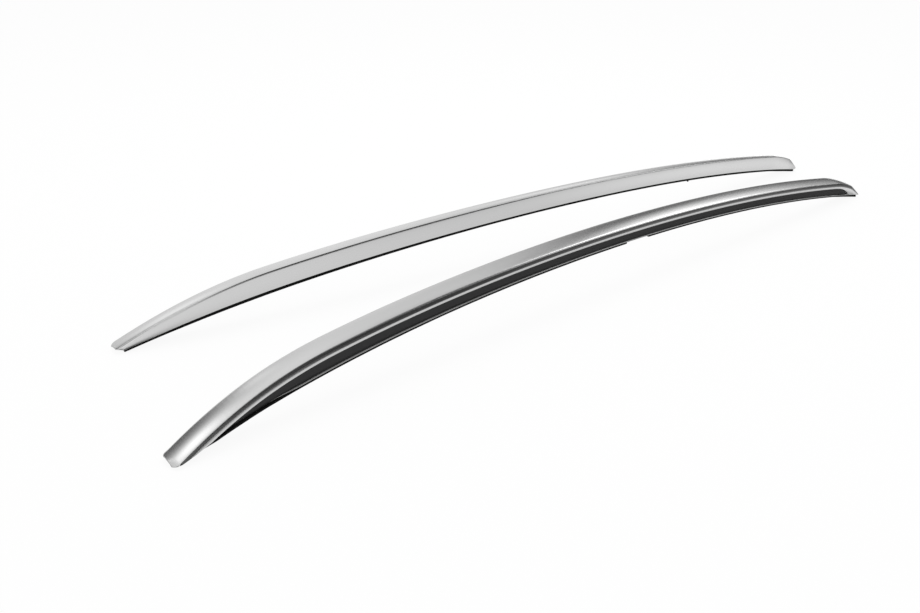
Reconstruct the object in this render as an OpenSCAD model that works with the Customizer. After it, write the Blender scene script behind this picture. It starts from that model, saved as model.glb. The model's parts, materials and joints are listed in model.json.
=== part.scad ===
// A pair of family-car roof side rails: two mirror-image bent aluminium extrusions,
// each trimmed along the roof line, with its seals, fixings and channel strip.
// Millimetres, Z up. Front is -X, and "s" is the distance back from the front tip.

/* [Rail length and bend] */

// Length of one rail from tip to tip, along X
rail_length = 1860; // [1840:5:1960]
// Height of the roof line's arch under the rail, at mid length
arch_height = 79.9; // [40:0.1:120]
// Outward bow of the rail in plan, at mid length
bow_depth = 28.9; // [10:0.1:45]
// Length of the front bend, where the rail runs down to the roof
front_bend_length = 289; // [200:1:380]
// Length of the rear bend, where the rail drops to the roof
rear_bend_length = 112; // [90:1:160]
// Curve power of the front bend: higher bends later
front_bend_power = 1.95; // [1.5:0.01:2.2]
// Curve power of the rear bend
rear_bend_power = 2.03; // [1.8:0.01:2.4]

/* [Height over the roof] */

// Height of the inboard top edge over the roof line, led to the front tip
height_front = 39.8; // [36:0.1:46]
// The same height at mid length
height_mid = 32.6; // [30:0.1:40]
// The same height, led to the rear tip
height_rear = 32.4; // [30:0.1:40]
// Height left at the front tip, before the nose is rounded
nose_front_height = 3; // [2.8:0.1:6]
// Height left at the rear tip, before the nose is rounded
nose_rear_height = 11.8; // [8:0.1:14]
// Length of the rounding of the front nose
nose_front_length = 3; // [2:0.5:12]
// Length of the rounding of the rear nose
nose_rear_length = 20; // [16:1:26]
// Radius of the nose corners seen from above
nose_corner = 9; // [6:0.5:12]
// Drop of the front tip below the arch
tip_drop = 3.9; // [2:0.1:4]
// Turn of the front tip to the inboard side
tip_turn = 7.6; // [0:0.2:12]
// Length of the stretch that drops and turns
tip_length = 200; // [150:5:240]

/* [Extrusion section] */

// Width of the top face
top_width = 39.9; // [36:0.1:44]
// Rise of the top face from the inboard edge to the outboard crease
top_rise = 5; // [3:0.1:6]
// Crown of the top face over a straight line
top_crown = 1.5; // [0.5:0.1:2.5]
// Undercut of the outboard face, from upright
undercut = 13.8; // [8:0.1:16]
// Belly of the outboard face over a straight line
side_crown = 0.8; // [0.2:0.1:1.5]
// Size of the rounding at the crease and the inboard edge
edge_round = 1.5; // [0.8:0.1:2]
// Depth of the inboard lip under the top edge
lip_depth = 12.8; // [11:0.1:14]
// How far the lip bellies out past the top edge
lip_belly = 2.6; // [1.5:0.1:3.5]
// Wall thickness of the extrusion
wall = 2.8; // [2:0.1:3.2]
// Length of the solid front end
hollow_start = 30; // [26:1:40]
// Depth of the inboard channel, from the lip's lower edge to the web
channel_depth = 8; // [7:0.1:9]
// Inboard edge of the base flange, outboard of the top edge
flange_edge = 2.3; // [1.8:0.1:3]
// Thickness of the base flange
flange_thickness = 1.6; // [1.2:0.1:2]

/* [Channel strip] */

// Thickness of the strip that lines the inboard channel
strip_thickness = 2; // [1.5:0.1:2.4]
// Distance from the front tip at which the channel starts
channel_start = 66; // [62:1:90]
// Distance from the rear tip at which the channel ends
channel_end = 52; // [46:1:60]
// Length over which the channel closes towards its rear end
channel_close = 42; // [30:1:60]
// How far the strip stays back from both ends of the channel
strip_lead = 16; // [14:1:24]

/* [Seals and pads] */

// Thickness of the base seal at the front pad
seal_thickness = 4.4; // [3:0.1:6]
// Thickness of the base seal at the rear pad
seal_thickness_rear = 2.8; // [2.4:0.1:4.5]
// Thickness of the pads at the tips
pad_thickness = 5.6; // [4.5:0.1:7]
// Thickness of the pad at the middle joint
joint_thickness = 3.6; // [3:0.1:6]
// How far the seals stay in from the outboard face
seal_inset = 0.4; // [0.2:0.1:1]
// Distance from the front tip at which the front pad starts
front_pad_start = 14; // [12:1:20]
// Distance from the front tip at which the front pad ends
front_pad_end = 128; // [110:1:135]
// Narrowing of the front pad at the tip, on its inboard side
front_pad_narrowing = 8; // [0:0.5:10]
// Length over which the front pad narrows
front_pad_taper = 60; // [40:5:80]
// Length of the rear pad
rear_pad_length = 104; // [96:1:110]
// Distance from the rear tip at which the rear pad ends
rear_pad_end = 9; // [8:1:14]
// Place of the joint pad's middle, as a share of the rail length from the front tip
joint_place = 0.5538; // [0.5:0.001:0.6]
// Length of the joint pad on the outboard side
joint_length = 146; // [130:1:150]
// Length of the gap left in the seal on the inboard side
joint_gap = 67; // [50:1:80]
// Inboard edge of the joint pad, outboard of the top edge
joint_edge = 14; // [12:0.5:18]

/* [Fixings] */

// Distance from the front tip to the first fixing
fixing_start = 190; // [170:1:200]
// Distance from the rear tip to the last fixing
fixing_end = 142; // [140:1:160]
// Distance from each end of the joint pad to the fixing next to it
fixing_to_joint = 50; // [36:1:80]
// Length of a fixing block
block_length = 44; // [36:1:48]
// Width of a fixing block
block_width = 15.6; // [15:0.1:16]
// Gap left over a fixing block
block_gap = 0.5; // [0.3:0.1:2]
// Radius of the thread bore in an insert
thread_radius = 2.5; // [2:0.1:3]
// Depth of the thread bore, with its mouth
thread_depth = 14; // [10:0.5:16]
// Radius of an insert's body
insert_radius = 4.8; // [4.2:0.1:5]
// Radius of an insert's flange
insert_flange_radius = 6.3; // [5.8:0.1:6.5]
// Thickness of an insert's flange
insert_flange = 2; // [1.5:0.1:3]
// Radius of the plain mouth before the thread
insert_mouth_radius = 3.7; // [3.6:0.1:4]
// Depth of the plain mouth
insert_mouth = 1; // [0.9:0.1:1.3]
// Radial clearance of the fixings in their bores
fit_clearance = 0.15; // [0.1:0.05:0.3]
// Inner radius of a seal ring
ring_inner = 4.2; // [3.8:0.1:4.5]
// Outer radius of a seal ring
ring_outer = 7.3; // [6.9:0.1:7.4]
// Radial gap of a seal ring in the base seal
ring_gap = 0.3; // [0.2:0.05:0.5]
// Radius of the locating pin
pin_radius = 2.5; // [2:0.1:3]
// Radius of the locating pin's shank, in the seal and the block
pin_shank = 3.2; // [3:0.1:3.4]
// How far the locating pin stands out under the seal
pin_reach = 8; // [5:0.1:9]
// How deep the locating pin sits in its block
pin_depth = 8; // [6:0.5:12]
// Distance of the pin ahead of its fixing
pin_ahead = 15; // [14:0.5:16]
// Distance of the pin outboard of its fixing
pin_outboard = 3.4; // [1:0.1:3.8]

/* [Layout of the pair] */

// Distance between the middles of the two rails, across
pair_gap = 344; // [250:1:900]
// Angle by which each rail is turned from the X axis
toe_angle = 2.4; // [0:0.1:4]
// Distance by which the left-hand rail lies behind the right-hand one
stagger = 65.8; // [0:0.1:120]

/* [Hidden] */

arch_skew = -0.144;
arch_flat = 0.821;
arch_twist = -0.442;
bow_skew = -0.393;
bow_flat = 0.231;
lean = tan(undercut);
mid_u = top_width / 2;
web_out = channel_depth - 1;
web_in = web_out + wall;
block_out = web_in + block_width;
fixing_u = web_in + block_width / 2;
hollow_end = rail_length - nose_rear_length;
pocket_start = channel_start;
pocket_end = rail_length - channel_end;
strip_start = pocket_start + strip_lead;
strip_end = pocket_end - strip_lead;
rear_pad_stop = rail_length - rear_pad_end;
rear_pad_start = rear_pad_stop - rear_pad_length;
joint_middle = joint_place * rail_length;
joint_start = joint_middle - joint_length / 2;
joint_stop = joint_middle + joint_length / 2;
gap_start = joint_middle - joint_gap / 2;
gap_stop = joint_middle + joint_gap / 2;
fixings = concat(
    [for (i = [0:2]) fixing_start + i * (joint_start - fixing_to_joint - fixing_start) / 2],
    [for (i = [2:-1:0]) rail_length - fixing_end - i * (rail_length - fixing_end - joint_stop - fixing_to_joint) / 2]
);

// Roof line and bow in plan at the distance s from the front tip.
function frac(s) = s / rail_length;
function bump(t) = 4 * t * (1 - t);
function tip(s) = pow(max(0, 1 - s / tip_length), 2);
function arch(t, c) = arch_height * bump(t) * (1 + arch_skew * c + arch_flat * c * c + arch_twist * c * c * c);
function roof_z(s) = arch(frac(s), frac(s) - 0.5) - tip_drop * tip(s);
function bow(t, c) = bow_depth * bump(t) * (1 + bow_skew * c + bow_flat * c * c);
function bow_y(s) = bow(frac(s), frac(s) - 0.5) - tip_turn * tip(s);

// Height of the inboard top edge over the roof line, with both bends.
function long_height(t) = height_front + (4 * height_mid - 3 * height_front - height_rear) * t + 2 * (height_front - 2 * height_mid + height_rear) * t * t;
function front_drop(s) = (height_front - nose_front_height) * pow(max(0, 1 - s / front_bend_length), front_bend_power);
function rear_drop(s) = (height_rear - nose_rear_height) * pow(max(0, 1 - (rail_length - s) / rear_bend_length), rear_bend_power);
function stand(s) = long_height(frac(s)) - front_drop(s) - rear_drop(s);
function top_z(s) = roof_z(s) + stand(s);
function steep(a, b) = sqrt(1 + pow((b - a) / 2, 2));
function k_top(s) = steep(top_z(s - 1), top_z(s + 1));
function k_roof(s) = steep(roof_z(s - 1), roof_z(s + 1));

// Rounding of the noses in side view (0.25 and 0.3 left at the tips) and of their corners in plan.
function quarter(d, r) = sqrt(1 - pow(1 - min(1, max(0, d / r)), 2));
function nose(s) = (0.25 + 0.75 * quarter(s, nose_front_length)) * (0.3 + 0.7 * quarter(rail_length - s, nose_rear_length));
function corner(s) = 1 - nose_corner / mid_u * (2 - quarter(s, nose_corner) - quarter(rail_length - s, nose_corner));

// A point held by the top edge (v is down or up from it), and a point held by the roof line.
function across(s, u) = bow_y(s) + mid_u + (u - mid_u) * corner(s);
function top_point(s, u, v) = [s - rail_length / 2, across(s, u), roof_z(s) + (stand(s) + k_top(s) * v) * nose(s)];
function roof_point(s, u, w) = [s - rail_length / 2, across(s, u), roof_z(s) + k_roof(s) * w * nose(s)];
function seal_point(s, u, w) = [s - rail_length / 2, across(s, u), roof_z(s) + k_roof(s) * w];

// Section: outboard face, top face and inboard lip.
function reach(s) = stand(s) / k_top(s);
function side_u(v, low) = let (q = (top_rise - v) / (top_rise + low)) top_width - lean * (top_rise - v) + side_crown * bump(q);
function top_v(u) = let (q = u / top_width) top_rise * q + top_crown * bump(q);
function lip_u(d) = lookup(d, [[0, 0], [2, -0.38 * lip_belly], [4.6, -0.78 * lip_belly], [7, -0.98 * lip_belly], [8.1, -lip_belly], [10.4, -0.8 * lip_belly], [lip_depth, -1]]);
function side_foot(s) = top_width - lean * (top_rise + reach(s));
function lip_low(s) = min(lip_depth, reach(s) - flange_thickness - 0.6);

// The channel's roof runs down to its floor over the last stretch before its rear end.
function closing(s) = quarter(pocket_end + 1.5 - s, channel_close);
function pocket_top(s, u) = let (a = top_point(s, u, -lip_low(s)), b = roof_point(s, u, flange_thickness)) [a[0], a[1], b[2] + (a[2] - b[2]) * closing(s)];

function blend(a, b, c) = (a + 2 * b + c) / 4;
function section(s) = let (
    low = reach(s),
    r = edge_round,
    crease = top_point(s, top_width, top_rise),
    crease_side = top_point(s, side_u(top_rise - r, low), top_rise - r),
    crease_top = top_point(s, top_width - r, top_v(top_width - r)),
    edge = top_point(s, 0, 0),
    edge_top = top_point(s, r, top_v(r)),
    d = lip_low(s),
    edge_lip = top_point(s, lip_u(0.1 * d), -0.1 * d)
) [
    roof_point(s, side_foot(s), 0),
    top_point(s, side_u((top_rise - low) / 2, low), (top_rise - low) / 2),
    crease_side,
    blend(crease_side, crease, crease_top),
    crease_top,
    for (q = [0.84, 0.68, 0.5, 0.34, 0.18]) top_point(s, q * top_width, top_v(q * top_width)),
    edge_top,
    blend(edge_top, edge, edge_lip),
    edge_lip,
    for (q = [0.36, 0.54, 0.64, 0.8]) top_point(s, lip_u(q * d), -q * d),
    pocket_top(s, lip_u(d)),
    pocket_top(s, web_out),
    roof_point(s, web_out, flange_thickness),
    roof_point(s, flange_edge, flange_thickness),
    roof_point(s, flange_edge, 0),
    roof_point(s, web_in, 0),
    top_point(s, web_in, top_v(web_in) - wall),
    top_point(s, side_foot(s) - wall + 2, top_v(side_foot(s) - wall + 2) - wall - 0.6),
    roof_point(s, side_foot(s) - wall, 0)
];

// Stations along the rail: close together in the noses and bends, and at both ends of each block and seal.
function steps(a, b, n) = [for (i = [0:n]) a + (b - a) * i / n];
function sort(v) = len(v) < 2 ? v : let (p = v[floor(len(v) / 2)])
    concat(sort([for (x = v) if (x < p - 0.01) x]), [p], sort([for (x = v) if (x > p + 0.01) x]));
nose_steps = [0, 0.6, 2.2, 5, 9];
fixed = concat(
    [hollow_start, hollow_end, pocket_start, pocket_end, rear_pad_start, rear_pad_stop, joint_start, joint_stop],
    [front_pad_start, front_pad_end, gap_start, gap_stop, strip_start, strip_end],
    [for (s = fixings) for (e = [-0.5, 0.5]) s + e * block_length]
);
loose = concat(
    nose_steps,
    [for (s = nose_steps) rail_length - s],
    steps(18, front_bend_length, 17),
    steps(front_bend_length + 40, rail_length - rear_bend_length - 20, 24),
    steps(rail_length - rear_bend_length, rail_length - 12, 12)
);
function near(s, v, d) = len([for (x = v) if (abs(x - s) < d) 1]) > 0;
function in_block(s) = len([for (x = fixings) if (abs(s - x) < block_length / 2 + 3) 1]) > 0;
stations = sort(concat(fixed, [for (s = loose) if (!near(s, fixed, s < 15 || s > rail_length - 15 ? 1.2 : 4) && !in_block(s)) s]));
function between(a, b) = [for (s = stations) if (s > a - 0.01 && s < b + 0.01) s];

// Faces of the extrusion: one loop of point numbers for each span, and a lid where the loop changes.
per = 26;
full = [for (i = [0:per - 1]) i];
function without(list, gone) = [for (i = list) if (!near(i, gone, 0.5)) i];
function has_hollow(s) = s > hollow_start && s < hollow_end;
function has_pocket(s) = s > pocket_start && s < pocket_end;
function span_loop(s) = without(full, concat(has_pocket(s) ? [] : [18, 19], has_hollow(s) ? [] : [23, 24]));
function pair_faces(a, b, j, m) = [[a + j, b + j, b + m], [a + j, b + m, a + m]];
function span_faces(loop, a, b) = [for (k = [0:len(loop) - 1]) each pair_faces(a, b, loop[k], loop[(k + 1) % len(loop)])];
function shifted(v, a) = [for (i = v) i + a];
function turned(v) = [for (i = [len(v) - 1:-1:0]) v[i]];
function change(before, after, v, a) = before == after ? [] : [shifted(after ? v : turned(v), a)];
function middle(v, list) = [for (k = [0:2]) let (t = [for (i = list) v[i][k]]) t * [for (i = t) 1] / len(t)];

module extrusion() {
    n = len(stations) - 1;
    rings = [for (s = stations) section(s)];
    mids = [for (i = [0:n - 1]) (stations[i] + stations[i + 1]) / 2];
    loops = [for (s = mids) span_loop(s)];
    points = concat(
        [for (r = rings) each r],
        [middle(rings[0], [1, 7, 16, 22]), middle(rings[n], [1, 7, 16, 22])]
    );
    ends = [
        for (k = [0:1]) let (loop = loops[k * (n - 1)], a = k * n * per, c = (n + 1) * per + k)
            for (i = [0:len(loop) - 1]) let (j = loop[i] + a, m = loop[(i + 1) % len(loop)] + a)
                k == 0 ? [c, j, m] : [c, m, j]
    ];
    faces = concat(
        [for (i = [0:n - 1]) each span_faces(loops[i], i * per, (i + 1) * per)],
        [for (i = [1:n - 1]) each change(has_hollow(mids[i - 1]), has_hollow(mids[i]), [22, 23, 24, 25], i * per)],
        [for (i = [1:n - 1]) each change(has_pocket(mids[i - 1]), has_pocket(mids[i]), [17, 18, 19, 20], i * per)],
        ends
    );
    polyhedron(points = points, faces = faces, convexity = 8);
}

// A bar swept through a list of convex sections with equal numbers of points.
module bar(rings) {
    n = len(rings) - 1;
    m = len(rings[0]);
    loop = [for (i = [0:m - 1]) i];
    faces = concat(
        [for (i = [0:n - 1]) each span_faces(loop, i * m, (i + 1) * m)],
        [loop, shifted(turned(loop), n * m)]
    );
    polyhedron(points = [for (r = rings) each r], faces = faces, convexity = 4);
}

// Section of a seal or pad: flat on top, with its lower edges broken.
function seal_section(s, a, b, g) = let (c = 0.8) [
    seal_point(s, b - c, -g), seal_point(s, b, c - g), seal_point(s, b, 0),
    seal_point(s, a, 0), seal_point(s, a, c - g), seal_point(s, a + c, -g)
];
function seal_edge(s) = side_foot(s) - seal_inset;
function seal_share(s) = min(1, max(0, (s - front_pad_end) / (rear_pad_start - front_pad_end)));
function seal_at(s) = seal_thickness + (seal_thickness_rear - seal_thickness) * seal_share(s);
function front_pad_edge(s) = flange_edge + front_pad_narrowing * max(0, 1 - (s - front_pad_start) / front_pad_taper);
rest_height = pad_thickness * k_roof(rear_pad_stop) - roof_z(rear_pad_stop);
front_pad_thickness = (rest_height + roof_z(front_pad_start)) / k_roof(front_pad_start);

// Frame of one fixing: flat on the roof line under its block, with Z away from the roof.
module at_fixing(i, ahead = 0, outboard = 0) {
    a = fixings[i] - block_length / 2;
    b = fixings[i] + block_length / 2;
    rise = roof_z(b) - roof_z(a);
    translate([fixings[i] - rail_length / 2, (bow_y(a) + bow_y(b)) / 2 + fixing_u, (roof_z(a) + roof_z(b)) / 2])
        rotate([0, -atan(rise / block_length), 0])
            translate([-ahead, outboard, 0])
                children();
}

module seal_holes(list) {
    for (i = list) {
        at_fixing(i)
            translate([0, 0, -seal_thickness - 3])
                cylinder(r = ring_outer + ring_gap, h = seal_thickness + 6, $fn = 64);
    }
}

module pin_hole() {
    at_fixing(4, pin_ahead, pin_outboard)
        translate([0, 0, -seal_thickness - 3])
            cylinder(r = pin_shank + fit_clearance, h = seal_thickness + 3 + pin_depth, $fn = 48);
}

module front_seal() {
    difference() {
        union() {
            bar([for (s = between(front_pad_end, joint_start)) seal_section(s, flange_edge, seal_edge(s), seal_at(s))]);
            bar([for (s = between(joint_start, gap_start)) seal_section(s, flange_edge, joint_edge, seal_at(s))]);
        }
        seal_holes([0, 1, 2]);
    }
}

module rear_seal() {
    difference() {
        union() {
            bar([for (s = between(gap_stop, joint_stop)) seal_section(s, flange_edge, joint_edge, seal_at(s))]);
            bar([for (s = between(joint_stop, rear_pad_start)) seal_section(s, flange_edge, seal_edge(s), seal_at(s))]);
        }
        seal_holes([3, 4, 5]);
        pin_hole();
    }
}

module joint_pad() {
    bar([for (s = between(joint_start, joint_stop)) seal_section(s, joint_edge, seal_edge(s), joint_thickness)]);
}

module front_pad() {
    bar([for (s = between(front_pad_start, front_pad_end)) let (q = (s - front_pad_start) / (front_pad_end - front_pad_start))
        seal_section(s, front_pad_edge(s), seal_edge(s), front_pad_thickness + (seal_thickness - front_pad_thickness) * q)]);
}

module rear_pad() {
    bar([for (s = between(rear_pad_start, rear_pad_stop)) let (q = (s - rear_pad_start) / rear_pad_length)
        seal_section(s, flange_edge, seal_edge(s), seal_thickness_rear + (pad_thickness - seal_thickness_rear) * q)]);
}

module strip() {
    a = web_out - strip_thickness;
    bar([for (s = between(strip_start, strip_end)) [
        roof_point(s, web_out, flange_thickness), pocket_top(s, web_out), pocket_top(s, a), roof_point(s, a, flange_thickness)
    ]]);
}

module block(i) {
    a = fixings[i] - block_length / 2;
    b = fixings[i] + block_length / 2;
    top = block_gap + wall;
    difference() {
        bar([for (s = [a, b]) [
            roof_point(s, block_out, 0), top_point(s, block_out, top_v(web_in) - top),
            top_point(s, web_in, top_v(web_in) - top), roof_point(s, web_in, 0)
        ]]);
        at_fixing(i) {
            translate([0, 0, -2])
                cylinder(r = insert_flange_radius + fit_clearance, h = insert_flange + 2, $fn = 64);
            translate([0, 0, -1])
                cylinder(r = insert_radius + fit_clearance, h = thread_depth + 2, $fn = 64);
        }
        if (i == 4) {
            pin_hole();
        }
    }
}

module insert(i) {
    at_fixing(i)
        rotate_extrude($fn = 64)
            polygon([
                [thread_radius, insert_mouth], [insert_mouth_radius, insert_mouth], [insert_mouth_radius, 0],
                [insert_flange_radius, 0], [insert_flange_radius, insert_flange],
                [insert_radius, insert_flange], [insert_radius, 5], [insert_radius - 0.5, 5.4], [insert_radius - 0.5, 6.6],
                [insert_radius, 7], [insert_radius, 9], [insert_radius - 0.5, 9.4], [insert_radius - 0.5, 10.6],
                [insert_radius, 11], [insert_radius, thread_depth - 0.6], [insert_radius - 0.6, thread_depth],
                [thread_radius, thread_depth]
            ]);
}

module ring(i) {
    low = -seal_at(fixings[i]);
    at_fixing(i)
        rotate_extrude($fn = 64)
            polygon([
                [ring_inner, 0], [ring_inner, low + 0.8], [ring_inner + 0.8, low],
                [ring_outer - 0.8, low], [ring_outer, low + 0.8], [ring_outer, 0]
            ]);
}

module pin() {
    low = -seal_at(fixings[4]);
    tip = low - pin_reach;
    at_fixing(4, pin_ahead, pin_outboard)
        rotate_extrude($fn = 48)
            polygon([
                [0, pin_depth], [0, tip], [pin_radius - 1, tip], [pin_radius, tip + 1.5],
                [pin_radius, low - 0.8], [pin_radius - 0.3, low - 0.6],
                [pin_radius - 0.3, low], [pin_shank, low], [pin_shank, pin_depth]
            ]);
}

module right_side() {
    translate([-stagger / 2, -pair_gap / 2, rest_height])
        rotate([0, 0, toe_angle])
            children();
}

module left_side() {
    translate([stagger / 2, pair_gap / 2, rest_height])
        rotate([0, 0, -toe_angle])
            mirror([0, 1, 0])
                children();
}

// One module for each piece.

module right_rail() {
    color([0.76, 0.77, 0.78])
        right_side()
            extrusion();
}

module right_channel_strip() {
    color([0.1, 0.1, 0.11])
        right_side()
            strip();
}

module right_front_seal() {
    color([0.07, 0.07, 0.07])
        right_side()
            front_seal();
}

module right_rear_seal() {
    color([0.07, 0.07, 0.07])
        right_side()
            rear_seal();
}

module right_front_pad() {
    color([0.05, 0.05, 0.05])
        right_side()
            front_pad();
}

module right_rear_pad() {
    color([0.05, 0.05, 0.05])
        right_side()
            rear_pad();
}

module right_joint_pad() {
    color([0.06, 0.06, 0.06])
        right_side()
            joint_pad();
}

module right_locating_pin() {
    color([0.15, 0.15, 0.15])
        right_side()
            pin();
}

module right_fixing_block_1() {
    color([0.2, 0.2, 0.21])
        right_side()
            block(0);
}

module right_fixing_block_2() {
    color([0.2, 0.2, 0.21])
        right_side()
            block(1);
}

module right_fixing_block_3() {
    color([0.2, 0.2, 0.21])
        right_side()
            block(2);
}

module right_fixing_block_4() {
    color([0.2, 0.2, 0.21])
        right_side()
            block(3);
}

module right_fixing_block_5() {
    color([0.2, 0.2, 0.21])
        right_side()
            block(4);
}

module right_fixing_block_6() {
    color([0.2, 0.2, 0.21])
        right_side()
            block(5);
}

module right_threaded_insert_1() {
    color([0.72, 0.66, 0.45])
        right_side()
            insert(0);
}

module right_threaded_insert_2() {
    color([0.72, 0.66, 0.45])
        right_side()
            insert(1);
}

module right_threaded_insert_3() {
    color([0.72, 0.66, 0.45])
        right_side()
            insert(2);
}

module right_threaded_insert_4() {
    color([0.72, 0.66, 0.45])
        right_side()
            insert(3);
}

module right_threaded_insert_5() {
    color([0.72, 0.66, 0.45])
        right_side()
            insert(4);
}

module right_threaded_insert_6() {
    color([0.72, 0.66, 0.45])
        right_side()
            insert(5);
}

module right_seal_ring_1() {
    color([0.12, 0.12, 0.12])
        right_side()
            ring(0);
}

module right_seal_ring_2() {
    color([0.12, 0.12, 0.12])
        right_side()
            ring(1);
}

module right_seal_ring_3() {
    color([0.12, 0.12, 0.12])
        right_side()
            ring(2);
}

module right_seal_ring_4() {
    color([0.12, 0.12, 0.12])
        right_side()
            ring(3);
}

module right_seal_ring_5() {
    color([0.12, 0.12, 0.12])
        right_side()
            ring(4);
}

module right_seal_ring_6() {
    color([0.12, 0.12, 0.12])
        right_side()
            ring(5);
}

module left_rail() {
    color([0.76, 0.77, 0.78])
        left_side()
            extrusion();
}

module left_channel_strip() {
    color([0.1, 0.1, 0.11])
        left_side()
            strip();
}

module left_front_seal() {
    color([0.07, 0.07, 0.07])
        left_side()
            front_seal();
}

module left_rear_seal() {
    color([0.07, 0.07, 0.07])
        left_side()
            rear_seal();
}

module left_front_pad() {
    color([0.05, 0.05, 0.05])
        left_side()
            front_pad();
}

module left_rear_pad() {
    color([0.05, 0.05, 0.05])
        left_side()
            rear_pad();
}

module left_joint_pad() {
    color([0.06, 0.06, 0.06])
        left_side()
            joint_pad();
}

module left_locating_pin() {
    color([0.15, 0.15, 0.15])
        left_side()
            pin();
}

module left_fixing_block_1() {
    color([0.2, 0.2, 0.21])
        left_side()
            block(0);
}

module left_fixing_block_2() {
    color([0.2, 0.2, 0.21])
        left_side()
            block(1);
}

module left_fixing_block_3() {
    color([0.2, 0.2, 0.21])
        left_side()
            block(2);
}

module left_fixing_block_4() {
    color([0.2, 0.2, 0.21])
        left_side()
            block(3);
}

module left_fixing_block_5() {
    color([0.2, 0.2, 0.21])
        left_side()
            block(4);
}

module left_fixing_block_6() {
    color([0.2, 0.2, 0.21])
        left_side()
            block(5);
}

module left_threaded_insert_1() {
    color([0.72, 0.66, 0.45])
        left_side()
            insert(0);
}

module left_threaded_insert_2() {
    color([0.72, 0.66, 0.45])
        left_side()
            insert(1);
}

module left_threaded_insert_3() {
    color([0.72, 0.66, 0.45])
        left_side()
            insert(2);
}

module left_threaded_insert_4() {
    color([0.72, 0.66, 0.45])
        left_side()
            insert(3);
}

module left_threaded_insert_5() {
    color([0.72, 0.66, 0.45])
        left_side()
            insert(4);
}

module left_threaded_insert_6() {
    color([0.72, 0.66, 0.45])
        left_side()
            insert(5);
}

module left_seal_ring_1() {
    color([0.12, 0.12, 0.12])
        left_side()
            ring(0);
}

module left_seal_ring_2() {
    color([0.12, 0.12, 0.12])
        left_side()
            ring(1);
}

module left_seal_ring_3() {
    color([0.12, 0.12, 0.12])
        left_side()
            ring(2);
}

module left_seal_ring_4() {
    color([0.12, 0.12, 0.12])
        left_side()
            ring(3);
}

module left_seal_ring_5() {
    color([0.12, 0.12, 0.12])
        left_side()
            ring(4);
}

module left_seal_ring_6() {
    color([0.12, 0.12, 0.12])
        left_side()
            ring(5);
}

right_rail();
right_channel_strip();
right_front_seal();
right_rear_seal();
right_front_pad();
right_rear_pad();
right_joint_pad();
right_locating_pin();
right_fixing_block_1();
right_fixing_block_2();
right_fixing_block_3();
right_fixing_block_4();
right_fixing_block_5();
right_fixing_block_6();
right_threaded_insert_1();
right_threaded_insert_2();
right_threaded_insert_3();
right_threaded_insert_4();
right_threaded_insert_5();
right_threaded_insert_6();
right_seal_ring_1();
right_seal_ring_2();
right_seal_ring_3();
right_seal_ring_4();
right_seal_ring_5();
right_seal_ring_6();
left_rail();
left_channel_strip();
left_front_seal();
left_rear_seal();
left_front_pad();
left_rear_pad();
left_joint_pad();
left_locating_pin();
left_fixing_block_1();
left_fixing_block_2();
left_fixing_block_3();
left_fixing_block_4();
left_fixing_block_5();
left_fixing_block_6();
left_threaded_insert_1();
left_threaded_insert_2();
left_threaded_insert_3();
left_threaded_insert_4();
left_threaded_insert_5();
left_threaded_insert_6();
left_seal_ring_1();
left_seal_ring_2();
left_seal_ring_3();
left_seal_ring_4();
left_seal_ring_5();
left_seal_ring_6();
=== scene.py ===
import json
import math

import bmesh
import bpy
from bpy.props import FloatProperty, FloatVectorProperty, IntProperty, PointerProperty
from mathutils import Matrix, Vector


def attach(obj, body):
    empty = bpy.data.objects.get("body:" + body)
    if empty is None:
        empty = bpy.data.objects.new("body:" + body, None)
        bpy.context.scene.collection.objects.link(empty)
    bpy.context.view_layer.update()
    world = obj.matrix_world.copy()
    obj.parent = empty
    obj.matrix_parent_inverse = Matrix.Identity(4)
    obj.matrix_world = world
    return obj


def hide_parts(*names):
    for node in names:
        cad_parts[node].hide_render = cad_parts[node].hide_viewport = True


bl_info = {
    "name": "Roof side rail pair",
    "version": (1, 0, 0),
    "blender": (4, 5, 0),
    "location": "View3D > Sidebar > Roof rails",
    "description": "Builds a pair of flush roof side rails with their seals, strips and fixings",
    "category": "Add Mesh",
}

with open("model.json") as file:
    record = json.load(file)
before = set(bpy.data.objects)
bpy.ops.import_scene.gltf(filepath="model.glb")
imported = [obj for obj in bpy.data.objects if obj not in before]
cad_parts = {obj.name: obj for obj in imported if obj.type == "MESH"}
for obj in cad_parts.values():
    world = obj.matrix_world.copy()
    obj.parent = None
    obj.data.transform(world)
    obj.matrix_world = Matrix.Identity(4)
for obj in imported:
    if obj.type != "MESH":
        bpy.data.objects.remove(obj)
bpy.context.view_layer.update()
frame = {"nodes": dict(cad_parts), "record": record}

SIDES = ("right", "left")


def metres(name, about, value):
    return FloatProperty(name=name, description=about, default=value, unit="LENGTH")


def degrees(name, about, value):
    return FloatProperty(name=name, description=about, default=math.radians(value), subtype="ANGLE")


def number(name, about, value):
    return FloatProperty(name=name, description=about, default=value)


def tint(name, about, value):
    return FloatVectorProperty(name=name, description=about, default=value, subtype="COLOR", size=3)


def spot(name, about, value):
    return FloatVectorProperty(name=name, description=about, default=value, subtype="TRANSLATION", size=3)


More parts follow.
